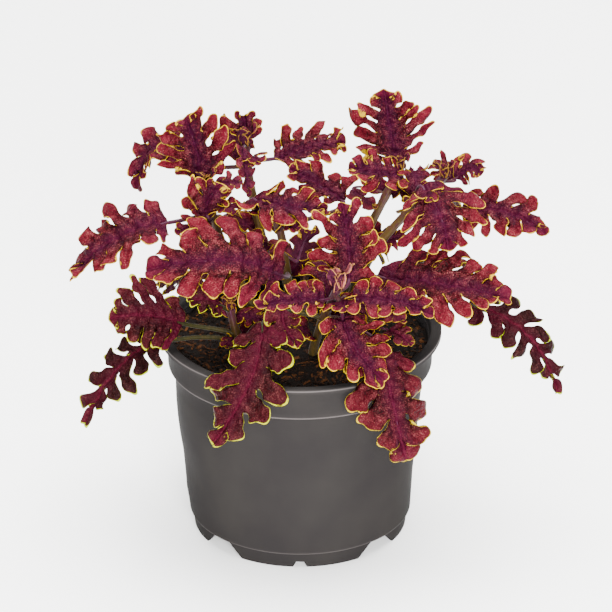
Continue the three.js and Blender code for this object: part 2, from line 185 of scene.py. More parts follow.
# living leaf blade: matt, downy skin over quilted tissue, with small soft spots of painted highlight in its
# colour where light would break up on it.
# dark along the violet midrib, crimson out on the fingers, with a thin pale rim that turns lime on old leaves
upperLook = {
    # the two lightest colours here are painted highlights, and the darkest also paints shade into the folds
    # of the margin
    "crimson": "#4d0b17", "shade": "#0e0102", "highlight": "#743e40", "glint": "#a0665a", "violet": "#2c061c",
    "old": "#180607", "oldShade": "#090202", "oldRib": "#480a1e", "young": "#96504c",
    "rim": "#b07c0a", "oldRim": "#869400",
    "rimWidth": 0.11, "rimTip": 0.5, "rimLoss": 0.12,  # mm: usual, gained at an old tip, and lost with age
    "quilt": 1.3, "veins": 2.3,  # mm from one to the next
    # mm off a rib, a vein or the margin where each starts to show, and where it's full
    "midrib": (1.1, 0.35), "fingerVein": (0.5, 0.15), "ribStain": (8, 1.8), "veinStain": (2.2, 0.4),
    # the crease is painted shade along the margin
    "crease": (1.3, 0.3),
    # noise at which each starts to show, and where it's full
    # the pale spots on the noise and the small specks are painted highlights
    "patches": (0.46, 0.7), "highlightSpots": (0.54, 0.66), "glintSpots": (0.75, 0.88), "barbs": (0.86, 0.99),
    "plump": 0.75, "sunk": 0.35, "coarse": 0.25,  # relief in mm: between the veins, along them and overall
    "mottle": 0.28, "grain": 1.6, "down": 1.7,  # noise waves to a mm
    "stained": 0.62, "outer": 0.22, "highlightShare": 0.36, "glintShare": 0.3, "veined": 0.3,  # how much each shows
    "roughness": 0.36, "gloss": 0.026,
}
underLook = {
    **upperLook,
    # its two lightest colours are painted highlights too
    "crimson": "#3c0e1a", "shade": "#1e070e", "highlight": "#4e1c2a", "glint": "#6a3a42", "violet": "#2c0a1e",
    "old": "#2a0e10", "oldShade": "#160607", "oldRib": "#3a101c", "young": "#4c2030", "roughness": 0.5,
}


def leafMaterial(name, look):
    material, add, work, ramp, mix = startMaterial(name)
    blade = add("UVMap", {}, uv_map="blade")  # mm along and across the blade
    finger = add("UVMap", {}, uv_map="finger")  # mm along and across its finger
    edge = add("Attribute", {}, 2, attribute_name="edge")  # mm to the margin
    traits = add("SeparateXYZ", {0: add("Attribute", {}, 1, attribute_name="traits")}).node.outputs
    age, tip, youth = traits[0], traits[1], traits[2]
    fingerParts = add("SeparateXYZ", {0: finger}).node.outputs
    offRib = work("ABSOLUTE", add("SeparateXYZ", {0: blade}, 1))
    offVein = work("ABSOLUTE", fingerParts[1])
    lively = ramp(age, 0, 1, 1, 0.35)

    mottle = add("TexNoise", {"Vector": blade, "Scale": look["mottle"], "Detail": 4, "Roughness": 0.6})
    grain = add("TexNoise", {"Vector": blade, "Scale": look["grain"], "Detail": 3, "Roughness": 0.65})
    down = add("TexNoise", {"Vector": blade, "Scale": look["down"], "Detail": 2, "Roughness": 0.7})
    cells = add("TexVoronoi", {
        "Vector": blade, "Scale": 1 / look["quilt"], "Smoothness": 0.4}, feature="SMOOTH_F1")

    # side veins leave each finger's own vein like the barbs of a feather
    barbs = add("CombineXYZ", {0: work("MULTIPLY_ADD", offVein, -1.15, fingerParts[0]), 1: offVein})
    wave = add("TexWave", {
        "Vector": barbs, "Scale": 0.314 / look["veins"], "Distortion": 1.6, "Detail": 2, "Detail Scale": 1.2,
    }, 1)
    sideVein = ramp(wave, *look["barbs"], 0, 0.55)
    mainVein = ramp(offVein, *look["fingerVein"])
    midrib = ramp(offRib, *look["midrib"])
    veins = work("MAXIMUM", work("MAXIMUM", sideVein, mainVein), midrib)

    # the violet stain spreads from the midrib and runs out along the veins
    fromRib = ramp(work("MULTIPLY_ADD", grain, 3, offRib), *look["ribStain"])
    alongVein = ramp(work("MULTIPLY_ADD", fingerParts[0], 0.12, offVein), *look["veinStain"], 0, 0.55)
    stain = work("MULTIPLY", work("MAXIMUM", fromRib, alongVein), work("MULTIPLY", lively, look["stained"]))

    # the body darkens inward, painted shade darkens it into the folds of the margin, and pale spots and
    # specks of painted highlight lie on it
    blend = work("MULTIPLY_ADD", grain, 0.55, work("MULTIPLY", mottle, 0.45))
    patch = ramp(work("MULTIPLY_ADD", tip, look["outer"], blend), *look["patches"])
    fresh = mix(patch, look["shade"], look["crimson"])
    faded = mix(patch, look["oldShade"], look["old"])
    body = mix(age, fresh, faded)
    # painted shade: darker into the folds along the margin, less towards a finger's tip
    crease = work("MULTIPLY", ramp(edge, *look["crease"]), work("MULTIPLY_ADD", tip, -0.6, 0.8))
    body = mix(crease, body, look["shade"])
    # painted highlights: pale spots on the finer noise, standing in for light on the crests of the quilting
    paintedHighlight = work("MULTIPLY", ramp(blend, *look["highlightSpots"], 0, look["highlightShare"]), lively)
    body = mix(paintedHighlight, body, look["highlight"])
    # painted highlights: small bright specks, standing in for glints of light on the down
    glint = ramp(work("MULTIPLY_ADD", mottle, 0.35, down), *look["glintSpots"], 0, look["glintShare"])
    body = mix(work("MULTIPLY", glint, lively), body, look["glint"])
    body = mix(work("POWER", youth, 4), body, look["young"])
    ribColour = mix(age, look["violet"], look["oldRib"])
    body = mix(stain, body, ribColour)
    body = mix(work("MULTIPLY", veins, look["veined"]), body, ribColour)

    # the pale rim, broken here and there and faint on young leaves
    widest = work("MULTIPLY_ADD", age, look["rimTip"], 0.12)
    width = work("MULTIPLY_ADD", age, -look["rimLoss"], look["rimWidth"] - 0.45)
    width = work("MULTIPLY_ADD", work("POWER", tip, 9), widest, width)
    width = work("MULTIPLY_ADD", mottle, 0.5, width)
    width = work("MULTIPLY_ADD", grain, 0.4, width)
    rim = ramp(work("SUBTRACT", edge, width), 0.12, -0.08)
    present = work("MULTIPLY", ramp(mottle, 0.33, 0.43, 0.25, 1), ramp(youth, 0, 0.5, 1, 0.3))
    lime = work("MAXIMUM", work("MULTIPLY", mottle, 0.5), age)
    rimColour = mix(lime, look["rim"], look["oldRim"])
    colour = mix(work("MULTIPLY", rim, present), body, rimColour)

    # plump between the veins, and finely uneven
    height = work("MULTIPLY_ADD", cells, -look["plump"], 0.35)
    height = work("MULTIPLY_ADD", veins, -look["sunk"], height)
    height = work("MULTIPLY_ADD", grain, look["coarse"], height)
    roughness = work("MULTIPLY_ADD", mottle, 0.14, look["roughness"])
    endMaterial(add, {
        "IOR": 1.45, "Specular IOR Level": look["gloss"], "Base Color": colour, "Roughness": roughness,
    }, height)
    return material


# fresh square stem: fine downy skin, olive low down and flushed with violet towards the tip
stemLook = {
    "low": "#101208", "middle": "#201e0a", "stalk": "#3c2c10", "high": "#300c1e",
    "streaks": 900,  # noise waves to a metre
    "roughness": 0.5, "gloss": 0.1, "sheen": 0.06,
}


def stemMaterial(name, look):
    material, add, work = startMaterial(name)[:3]
    flush = add("Attribute", {}, 2, attribute_name="flush")
    drawn = add("Mapping", {"Vector": add("TexCoord", {}, 3), "Scale": (1, 1, 0.15)})
    streaks = add("TexNoise", {"Vector": drawn, "Scale": look["streaks"], "Detail": 3})
    colour = add("ValToRGB", {0: work("MULTIPLY_ADD", streaks, 0.5, flush)}, stops=(
        (0.3, look["low"]), (0.5, look["middle"]), (0.75, look["stalk"]), (1, look["high"])))
    endMaterial(add, {
        "Base Color": colour, "Roughness": look["roughness"], "Specular IOR Level": look["gloss"],
        "Sheen Weight": look["sheen"], "Sheen Roughness": 0.4}, streaks, 0.15, 0.6)
    return material


# thermoformed polypropylene: dull dark grey, a little streaky down the draw, with fine scuffs, and highlights
# painted along its edges
potLook = {
    # the edge colour is a painted highlight on the corners of the lip, the crease and the foot
    "colour": "#201e1e", "worn": "#242221", "edge": "#4e4948",
    "streaks": 260, "clouds": 38,  # noise waves to a metre
    "scuff": 3.0,  # mm
    "roughness": 0.5, "gloss": 0.005,
}


def plasticMaterial(name, look):
    material, add, work, ramp, mix = startMaterial(name)
    place = add("TexCoord", {}, 3)
    drawn = add("Mapping", {"Vector": place, "Scale": (1, 1, 0.08)})
    streaks = add("TexNoise", {"Vector": drawn, "Scale": look["streaks"], "Detail": 3})
    scuffs = add("TexNoise", {"Vector": place, "Scale": 1000 / look["scuff"], "Detail": 6, "Roughness": 0.7})
    cloud = add("TexNoise", {"Vector": place, "Scale": look["clouds"], "Detail": 2})
    colour = mix(ramp(cloud, 0.35, 0.7), look["colour"], look["worn"])
    # painted highlight: the edge colour where the bands along the lip, the crease and the foot lie
    colour = mix(add("Attribute", {}, 2, attribute_name="wear"), colour, look["edge"])
    roughness = work("MULTIPLY_ADD", scuffs, 0.16, look["roughness"] - 0.08)
    height = work("MULTIPLY_ADD", scuffs, 0.3, streaks)
    endMaterial(add, {
        "Base Color": colour, "Roughness": roughness, "IOR": 1.49, "Specular IOR Level": look["gloss"],
    }, height, 0.06, 0.5)
    return material


# damp peat: dark, matt and crumbly, with redder flakes of composted bark that stand out on it
peatLook = {"dark": "#090503", "light": "#24140b", "flakeDark": "#120804", "flakeLight": "#43260f"}


def peatMaterial(name, dark, light, crumb):
    material, add, work, ramp, mix = startMaterial(name)
    shade = add("Attribute", {}, 2, attribute_name="shade")
    clumps = add("TexNoise", {
        "Vector": add("TexCoord", {}, 3), "Scale": 1000 / crumb, "Detail": 6, "Roughness": 0.75})
    colour = mix(ramp(work("MULTIPLY_ADD", clumps, 0.8, shade), 0.35, 1.3), dark, light)
    endMaterial(add, {"Base Color": colour, "Roughness": 0.85, "Specular IOR Level": 0.1}, clumps, 0.8)
    return material


leafSkin = leafMaterial("living leaf blade, upper side", upperLook)
leafBack = leafMaterial("living leaf blade, underside", underLook)
stemSkin = stemMaterial("downy green stem", stemLook)
plastic = plasticMaterial("thermoformed polypropylene", potLook)
peat = peatMaterial("damp peat mix", peatLook["dark"], peatLook["light"], 2.5)
bark = peatMaterial("composted bark", peatLook["flakeDark"], peatLook["flakeLight"], 1.5)
print("materials made")


# ---- sizes of the mix, and the plant's plan, shared with the solids

mixShape = {
    "top": 90.5,  # mm
    "steps": 200, "rings": 44,
    "lumps": ((0.7, 9), (0.4, 4.2)),  # height and size in mm
    "crumbs": 2800, "crumbSize": (0.35, 1.25), "flakes": 1000, "flakeSize": (0.9, 3.5),
    "fibres": 140, "fibreSize": (2, 7),  # mm from the least to the most
}

# each stem: its node, the size of its crown of young leaves, and the points of its route from the soil up.
# each leaf: the share of the stem below its stalk, base, middle and tip of its midrib, where its upper side
# looks, half its width, its fingers on each side, fold, wave and age, and where they aren't the usual ones
# also how far from the midrib its clefts end, and half the width of its end
plan = (
    ("shoot_front", 12, ((6, -14), (11, -28, 117), (17, -42, 139)), (
        (0.74, (-17, -40, 121), (-22, -67, 105), (-39, -76, 78), (-0.2, -0.85, 0.5), 18, 5, 0.1, 2, 0.8, 0.3),
        (0.95, (19, -47, 128), (24, -59, 119), (38, -66, 104), (0.1, -0.75, 0.65), 15, 5, 0.3, 1.6, 0.1),
        (0.7, (37, -45, 111), (41, -66, 97), (48, -70, 67), (0.15, -0.9, 0.4),
         18, 4, 0.1, 1.6, 0.45, 0.38, 0.46),
        (0.92, (11, -44, 134), (-2, -50, 137), (-20, -55, 136), (0, -0.6, 0.8), 9, 5, 0.5, 1, 0),
        (0.92, (23, -44, 134), (40, -50, 137), (60, -57, 133), (0, -0.6, 0.8), 10, 5, 0.5, 1, 0.05),
        (0.97, (22, -38, 139), (22, -27, 152), (19, -18, 170), (0, -0.95, 0.3), 16, 5, 0.3, 2, 0.05),
        (0.72, (-7, -38, 127), (-7, -45, 122), (0, -50, 114), (0, -0.8, 0.5), 8, 3, 0.2, 1, 0.6),
        (0.76, (40, -40, 117), (45, -45, 117), (51, -48, 113), (0.2, -0.7, 0.7), 6, 3, 0.3, 0.8, 0.5),
    )),
    ("shoot_left", 8, ((-14, -4), (-30, 4, 125), (-40, 12, 149), (-43, 19, 161)), (
        (0.8, (-60, 5, 149), (-82, -2, 145), (-105, 0, 124), (0, -0.4, 0.92), 15.5, 6, 0.38, 2, 0.15, 0.4),
        (0.82, (-42, 4, 152), (-42, 8, 158), (-36, 10, 166), (0, -0.9, 0.4), 13, 4, 0.2, 1.4, 0.1),
        (0.82, (-41, 6, 149), (-48, 0, 150), (-56, -4, 148), (-0.1, -0.6, 0.8), 8, 3, 0.3, 1, 0.2),
        (0.97, (-46, 28, 158), (-47, 36, 169), (-53, 40, 186), (0, -0.95, 0.3), 18, 5, 0.3, 2, 0),
        (0.97, (-39, 18, 162), (-33, 14, 165), (-26, 12, 166), (0, -0.6, 0.8), 5, 3, 0.4, 0.8, 0),
    )),
    ("shoot_left_low", 6, ((-27, -13), (-30, -12, 105), (-32, -10, 113)), (
        (0.66, (-53, -18, 109), (-68, -28, 118), (-86, -34, 120), (-0.1, -0.75, 0.65), 18, 5, 0.15, 2, 0.8),
        (0.58, (-64, -25, 103), (-82, -37, 96), (-98, -42, 70), (-0.4, -0.6, 0.7),
         12, 5, 0.2, 1.4, 1.0, 0.18),
        (0.95, (-36, -14, 116), (-42, -19, 122), (-50, -22, 123), (0, -0.5, 0.85), 11, 4, 0.3, 1.2, 0.8),
    )),
    ("shoot_back_left", 10, ((-10, 14), (-18, 26, 132), (-24, 35, 162), (-25, 38, 173)), (
        (0.82, (-50, 46, 160), (-68, 58, 162), (-76, 62, 139), (-0.1, -0.5, 0.85), 11, 5, 0.3, 1.8, 0.15),
        (0.98, (-25, 42, 173), (-25, 45, 178), (-26, 47, 185), (0, -0.9, 0.4), 10, 3, 0.3, 1, 0),
        (0.96, (-26, 31, 175), (-25, 23, 168), (-23, 19, 156), (0.5, -0.8, 0.2), 5, 4, 0.3, 0.6, 0),
        (0.84, (-12, 53, 159), (3, 60, 160), (21, 65, 162), (0, -0.3, 0.95), 16, 6, 0.45, 2, 0.05),
        (0.4, (-38, 34, 105), (-52, 50, 101), (-62, 62, 85), (-0.4, 0.5, 0.8), 14, 4, 0.2, 1.6, 0.5),
        (0.6, (-26, 42, 127), (-34, 58, 127), (-40, 74, 115), (-0.1, 0.2, 0.95), 14, 4, 0.25, 1.6, 0.4),
    )),
    ("shoot_middle", 7, ((-2, 2), (-6, 2, 122), (-9, 4, 145), (-13, 8, 153)), (
        (0.62, (-8, -22, 135), (-33, -34, 149), (-69, -32, 143), (0, -0.7, 0.7), 20, 6, 0.27, 2.4, 0.1),
        (0.97, (-22, 14, 157), (-7, 4, 158), (13, 2, 157), (0, -0.4, 0.92), 14, 5, 0.36, 1.8, 0),
        (0.84, (20, 26, 150), (10, 34, 154), (-5, 38, 161), (0, -0.5, 0.86), 12, 4, 0.3, 1.6, 0.05),
        (0.72, (-1, -6, 135), (1, -2, 141), (5, -4, 150), (0, 0.95, 0.2), 9, 3, 0.2, 1, 0.2),
    )),
    ("shoot_back_right", 8, ((16, 14), (26, 16, 127), (38, 22, 152), (46, 28, 165)), (
        (0.98, (46, 38, 163), (42, 52, 173), (39, 58, 191), (0, -0.92, 0.4), 18, 6, 0.25, 2, 0),
        (0.96, (47, 22, 164), (36, 16, 169), (22, 18, 171), (0, -0.5, 0.86), 11, 5, 0.47, 1.2, 0),
        (0.84, (24, 24, 157), (29, 18, 155), (35, 14, 153), (0.3, -0.7, 0.6), 4, 2, 0.2, 0.5, 0.1),
        (0.4, (50, 32, 113), (68, 46, 111), (84, 58, 97), (0.3, 0.4, 0.85), 14, 4, 0.2, 1.6, 0.5),
        (0.6, (52, 32, 135), (62, 48, 139), (70, 66, 131), (0.1, 0.2, 0.95), 14, 4, 0.25, 1.6, 0.4),
    )),
    ("shoot_right", 8, ((18, 1), (32, 4, 132), (50, 6, 155), (66, 14, 168)), (
        (0.84, (55, 2, 169), (63, -14, 163), (67, -24, 150), (0, -0.6, 0.8), 20, 5, 0.2, 2.2, 0.1),
        (0.8, (73, 10, 151), (93, 2, 156), (112, -12, 151), (0, -0.65, 0.75), 12.5, 5, 0.27, 1.8, 0.15),
        (0.97, (71, 20, 164), (67, 22, 167), (61, 24, 170), (0, -0.6, 0.8), 7, 4, 0.4, 1, 0),
        (0.97, (71, 20, 164), (77, 20, 169), (83, 18, 168), (0, -0.6, 0.8), 8, 4, 0.4, 1, 0),
    )),
    ("shoot_right_low", 6, ((24, -12), (34, -14, 113), (44, -16, 124)), (
        (0.97, (34, -14, 131), (64, -31, 135), (95, -38, 132), (0, -0.5, 0.86), 20, 7, 0.36, 2, 0.15),
        (0.84, (76, -26, 123), (102, -38, 114), (117, -44, 86), (0.3, -0.6, 0.7), 13, 6, 0.1, 1.4, 1.0, 0.18),
        (0.86, (37, -30, 121), (42, -38, 123), (47, -45, 123), (0.2, -0.6, 0.8), 6, 3, 0.3, 0.8, 0.3),
    )),
    ("shoot_back", 8, ((2, 27), (2, 34, 102), (2, 40, 109)), (
        (0.9, (-18, 42, 109), (-27, 66, 108), (-33, 86, 93), (-0.1, 0.4, 0.9), 15, 4, 0.2, 1.8, 0.4),
        (0.9, (22, 42, 109), (27, 68, 107), (30, 88, 91), (0.1, 0.4, 0.9), 16, 4, 0.2, 1.8, 0.5),
        (0.94, (0, 50, 105), (-1, 70, 101), (-3, 84, 81), (0, 0.5, 0.85), 12, 3, 0.2, 1.6, 0.4),
    )),
)
leafNames = ("start", "base", "mid", "tip", "face", "half", "lobes", "fold", "wave", "age", "cleft", "end")
usual = {"cleft": 0.38, "end": 0.3}  # shares of half the width


# stems follow a centripetal Catmull-Rom curve through their points
def stemPoint(points, share):
    place = min(share * (len(points) - 1), len(points) - 1 - 1e-6)
    i = int(place)
    w = place - i
    before = points[i - 1] if i > 0 else 2 * points[0] - points[1]
    start, end = points[i], points[i + 1]
    after = points[i + 2] if i + 2 < len(points) else 2 * points[-1] - points[-2]
    first, span, last = (math.sqrt((q - p).length) for p, q in ((before, start), (start, end), (end, after)))
    into = ((start - before) / first - (end - before) / (first + span) + (end - start) / span) * span
    away = ((end - start) / span - (after - start) / (span + last) + (after - end) / last) * span
    return ((2 * w ** 3 - 3 * w ** 2 + 1) * start + (w ** 3 - 2 * w ** 2 + w) * into
            + (3 * w ** 2 - 2 * w ** 3) * end + (w ** 3 - w ** 2) * away)


# a midrib bends from base to tip through its middle
def ribCurve(leaf):
    base, mid, tip = (Vector(leaf[key]) for key in ("base", "mid", "tip"))
    return base, 2 * mid - (base + tip) / 2, tip


def ribPoint(rib, t):
    return (1 - t) ** 2 * rib[0] + 2 * t * (1 - t) * rib[1] + t * t * rib[2]


def ribSlope(rib, t):
    return (1 - t) * (rib[1] - rib[0]) + t * (rib[2] - rib[1])


def ribLength(rib):
    steps = [ribPoint(rib, i / 200) for i in range(201)]
    return sum((q - p).length for p, q in zip(steps, steps[1:]))


crownShape = {
    "pairs": (1, 0.75, 0.55, 0.35),
    "bound": 11,  # mm: a larger crown has slender, pale leaves
    "large": (0.15, 1), "small": (0.26, 0.5),  # half a leaf's width as a share of the size, and its youth
}
axilShape = {"joints": (0.62, 0.84), "stalk": 1.5, "half": 0.44, "youth": 0.15}


# young leaves stand round a growing tip in crossed pairs, each pair smaller and more upright than the last
def makeCrown(top, size, seed):
    dice = makeDice(seed)
    half, youth = crownShape["large" if size > crownShape["bound"] else "small"]
    leaves = []
    for pair, share in enumerate(crownShape["pairs"]):
        for i in range(2):
            turn = i * math.pi + pair * math.pi / 2 + dice()
            out = Vector((math.cos(turn), math.sin(turn), 0))
            spread = size * share * (1 - 0.25 * pair)
            rise = size * share
            leaves.append({
                **usual, "seed": seed + i + 1 + 10 * pair, "lobes": 2, "fold": 0.45 + 0.1 * pair, "wave": 0.6,
                "half": size * half * share, "age": 0, "youth": youth, "face": (-out.x, -out.y, 0.9),
                "base": top + out * 0.14 * spread - up * 0.1 * rise,
                "mid": top + out * 0.3 * spread + up * 0.6 * rise,
                "tip": top + out * 0.62 * spread + up * rise,
            })
    return leaves


# small leaves open in pairs from the joints of a stem
def makeAxils(points, size, seed):
    dice = makeDice(seed)
    leaves = []
    for joint, share in enumerate(axilShape["joints"]):
        at = stemPoint(points, share)
        for i in range(2):
            turn = i * math.pi + joint * math.pi / 2 + 1.2 * dice()
            out = Vector((math.cos(turn), math.sin(turn), 0))
            far, rise = size * (1.1 + 0.7 * dice()), 0.5 * dice()
            if at.z < mixShape["top"] + 8:
                continue
            leaves.append({
                **usual, "seed": seed + 40 + 2 * joint + i, "lobes": 3, "fold": 0.35, "wave": 1.0,
                "half": axilShape["half"] * far, "age": 0.1, "youth": axilShape["youth"],
                "face": (0.2 * out.x, -0.5, 0.85), "base": at + out * axilShape["stalk"],
                "mid": at + out * 0.6 * far + up * (0.2 + 0.6 * rise) * far,
                "tip": at + out * far + up * rise * far,
            })
    return leaves


def readPlan():
    shoots = []
    for order, (node, crown, route, rows) in enumerate(plan):
        foot, above = route[0], route[1:]
        points = [Vector((*foot, z)) for z in (75, 84, 93)] + [Vector(p) for p in above]
        leaves = []
        for i, row in enumerate(rows):
            leaf = dict(zip(leafNames, row))
            youth = min(0.45, max(0, 1 - leaf["half"] / 10))
            leaves.append({**usual, **leaf, "seed": 101 * (order + 1) + 7 * i, "youth": youth})
        young = makeCrown(stemPoint(points, 1), crown, 1009 * (order + 1))
        young += makeAxils(points, crown + 3, 577 * (order + 1))
        shoots.append({"node": node, "points": points, "leaves": leaves, "young": young})
    return shoots


shoots = readPlan()
print("plan read:", len(shoots), "stems,", sum(len(shoot["leaves"]) for shoot in shoots), "leaves")

# ---- leaves

bladeShape = {
    "thickness": 0.3,  # mm
    "fingered": 0.86,  # share of the blade's length
    # how far along a finger, and half its width there
    "fingers": ((0.14, 0.47), (0.42, 0.43), (0.72, 0.54), (0.94, 0.43), (1.08, 0.15)),
    # heights and depths in mm, with the size of their waves or half the width of a groove
    "ruffle": 1.3, "ruffleSize": 5.2, "quilt": 0.26, "quiltSize": 2.6, "drape": 0.3, "drapeSize": 17,
    "ribGroove": 0.6, "ribWidth": 0.85, "veinGroove": 0.38, "veinWidth": 0.75, "arch": 1.3, "archWidth": 1.5,
    "crenation": 0.9, "crenationSize": 4.9, "wander": 0.7,
    "margin": 1.3,  # mm in from the edge of a blade to where its relief is at two thirds
    "cup": 2.4, "curl": 0.5,  # mm, and a share of the finger
}


# length of the fingers along the blade, as a share of its half width
def reach(along):
    return math.sin(math.pi * (0.16 + 0.84 * along ** 0.75))


def fingerAngle(along):
    return math.radians(74 - 38 * along)


# draws new edges out of edges, and hands back the new vertices and faces, sorted along a direction
def drawOut(blade, edges, direction):
    grown = bmesh.ops.extrude_edge_only(blade, edges=edges)["geom"]
    verts = sorted((g for g in grown if isinstance(g, bmesh.types.BMVert)), key=lambda v: v.co.dot(direction))
    faces = sorted((g for g in grown if isinstance(g, bmesh.types.BMFace)),
                   key=lambda f: f.calc_center_median().dot(direction))
    return verts, faces


# adds one flat blade, with x along its midrib and y across it, and lists its fingers
def layOutBlade(blade, fingers, leaf, length):
    dice = makeDice(leaf["seed"])
    mood = makeDice(leaf["seed"] + 7919)
    owner = blade.faces.layers.int["finger"]
    lobes, half, cleft = leaf["lobes"], leaf["half"], leaf["cleft"]
    step = bladeShape["fingered"] / lobes
    ahead = Vector((1, 0, 0))
    rib = [blade.verts.new((length * step * i, 0, 0)) for i in range(lobes + 1)]
    rib += [blade.verts.new((length * 0.93, 0, 0)), blade.verts.new((length, 0, 0))]
    ribEdges = [blade.edges.new(pair) for pair in zip(rib, rib[1:])]
    fingered = length * bladeShape["fingered"]
    endFinger = {"root": Vector((fingered, 0, 0)), "out": ahead, "over": Vector((0, 1, 0)), "start": 0,
                 "length": length - fingered, "leaf": leaf, "width": half * 0.5, "cup": 0, "curl": 0}
    for side in (1, -1):
        clefts, bases = drawOut(blade, ribEdges, ahead)
        for i in range(lobes + 1):
            along = step * i
            across = 1.3 if i == 0 else half * (cleft * reach(along) * 0.9 + 0.02)
            clefts[i].co = (length * along + 0.8 * across / math.tan(fingerAngle(along)), side * across, 0)
        clefts[lobes + 1].co = (length * 0.95, side * half * leaf["end"] * 1.15, 0)
        clefts[lobes + 2].co = (length * 1.02, side * half * leaf["end"] * 0.6, 0)
        for i in range(lobes):
            along = step * (i + 0.5)
            angle = fingerAngle(along) + 0.3 * (dice() - 0.5)
            root = (clefts[i].co + clefts[i + 1].co) / 2
            out = Vector((math.cos(angle), side * math.sin(angle), 0))
            over = Vector((math.sin(angle), -side * math.cos(angle), 0))
            width = (0.72 + 0.78 * cleft) * (clefts[i + 1].co - clefts[i].co).dot(over)
            goal = half * reach(along) * (0.8 + 0.34 * dice())
            far = max((goal - abs(root.y)) / math.sin(angle), width * 0.6)
            lift = (1 if (i + (side < 0)) % 2 else -0.7) * leaf["wave"] * (0.6 + 0.8 * dice())
            twist = 0.3 * leaf["wave"] * (dice() - 0.5)
            bases[i][owner] = len(fingers)
            edge = blade.edges.get((clefts[i], clefts[i + 1]))
            swell, sweep = 0.85 + 0.4 * mood(), 0.6 * (mood() - 0.5)
            blunt = 0.65 + 0.5 * mood()
            far *= 0.86 + 0.3 * mood()
            for share, wide in bladeShape["fingers"]:
                ends, grown = drawOut(blade, [edge], over)
                if share > 0.5:
                    wide *= swell if share < 0.9 else blunt
                for vert, hand in ((ends[0], -1), (ends[1], 1)):
                    vert.co = root + out * far * share + over * width * (hand * wide + sweep * share ** 2)
                    vert.co.z = lift * share ** 1.4 + hand * twist * share
                grown[0][owner] = len(fingers)
                edge = blade.edges.get(ends)
            fingers.append({"root": root, "out": out, "over": over, "start": abs(root.y) / math.sin(angle),
                            "length": far, "leaf": leaf, "width": width, "cup": 1.3 * mood() - 0.3,
                            "curl": 1.3 * mood() - 0.35})
        for face in bases[lobes:]:
            face[owner] = len(fingers)
        fingers.append(endFinger)


# the blades of one stem, flat and finely divided, with their layers for the material
def drawBlades(leaves, levels):
    blade = bmesh.new()
    blade.faces.layers.int.new("finger")
    fingers = []
    for leaf in leaves:
        layOutBlade(blade, fingers, leaf, ribLength(ribCurve(leaf)))
    bmesh.ops.recalc_face_normals(blade, faces=blade.faces)
    bmesh.ops.reverse_faces(blade, faces=[face for face in blade.faces if face.normal.z < 0])
    fine = worked(toMesh(blade, "cage"), ("SUBSURF", {"levels": levels, "render_levels": levels}))
    return fine, fingers


def readArray(items, key, kind):
    flat = np.empty(len(items), kind)
    items.foreach_get(key, flat)
    return flat


def toUnit(rows):
    return rows / np.linalg.norm(rows, axis=1, keepdims=True)


# distance in mm from each vertex to the margin of its own blade, and the way out across that margin
def marginDistance(mesh, flat, corners, owner):
    edges = readArray(mesh.loops, "edge_index", np.int32)
    following = corners.reshape(-1, 4)[:, (1, 2, 3, 0)].ravel()
    onRim = np.bincount(edges)[edges] == 1
    heading = flat[following[onRim], :2] - flat[corners[onRim], :2]
    away = np.zeros((len(flat), 2))
    for ends in (corners[onRim], following[onRim]):
        np.add.at(away, ends, np.stack([heading[:, 1], -heading[:, 0]], axis=1))
    away /= np.maximum(np.linalg.norm(away, axis=1, keepdims=True), 1e-9)
    rim = np.unique(corners[onRim])
    distance, outward = np.zeros(len(flat)), np.zeros((len(flat), 2))
    for number in np.unique(owner):
        own = np.flatnonzero(owner == number)
        margin = rim[owner[rim] == number]
        gaps = ((flat[own, None, :2] - flat[None, margin, :2]) ** 2).sum(axis=2)
        nearest = gaps.argmin(axis=1)
        distance[own] = np.sqrt(gaps[np.arange(len(own)), nearest])
        outward[own] = away[margin[nearest]]
    return distance, outward


